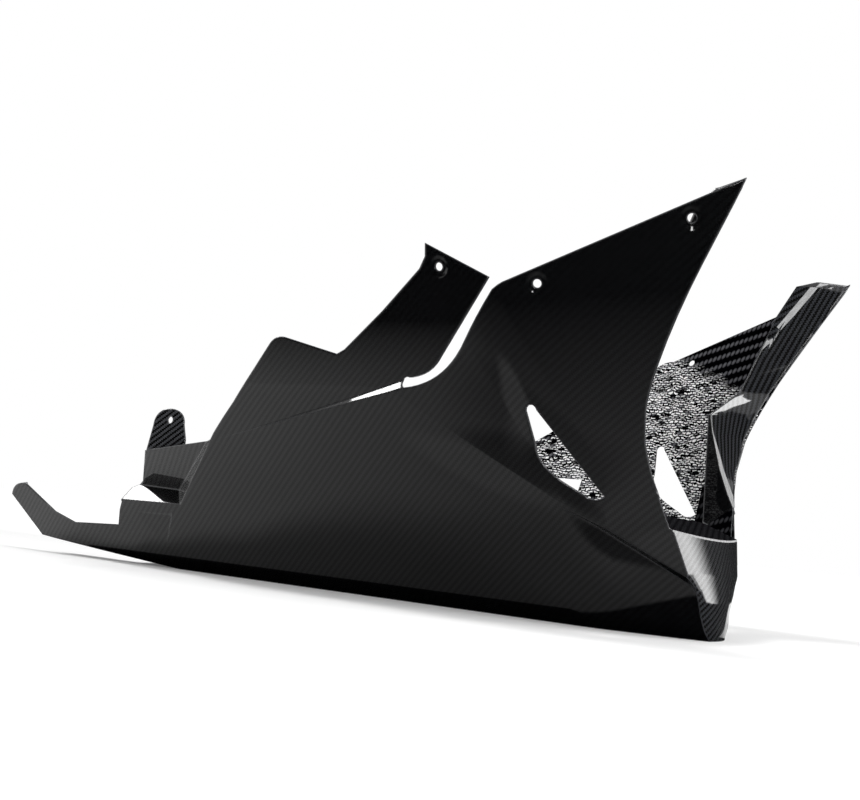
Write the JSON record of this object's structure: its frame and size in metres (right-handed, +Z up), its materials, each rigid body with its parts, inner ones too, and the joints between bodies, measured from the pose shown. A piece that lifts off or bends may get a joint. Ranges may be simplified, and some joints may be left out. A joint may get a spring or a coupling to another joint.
{
  "type": "motorcycle belly pan",
  "caption": "Moulded carbon fibre pan that closes the underside of a motorcycle, with faceted flanks, pointed front wings, air vents and a fixing arm.",
  "frame": {"origin": "under the middle of the length and width, on the flat of the keel", "axes": "+X towards the front of the bike, +Y to the rider's left, +Z up"},
  "size_m": [0.817, 0.3725, 0.328],
  "materials": {
    "carbon": "glossy clear coat over dark twill carbon fibre, open weave on the inner face"
  },
  "bodies": {
    "root": {"belly_pan": "carbon"}
  },
  "joints": []
}
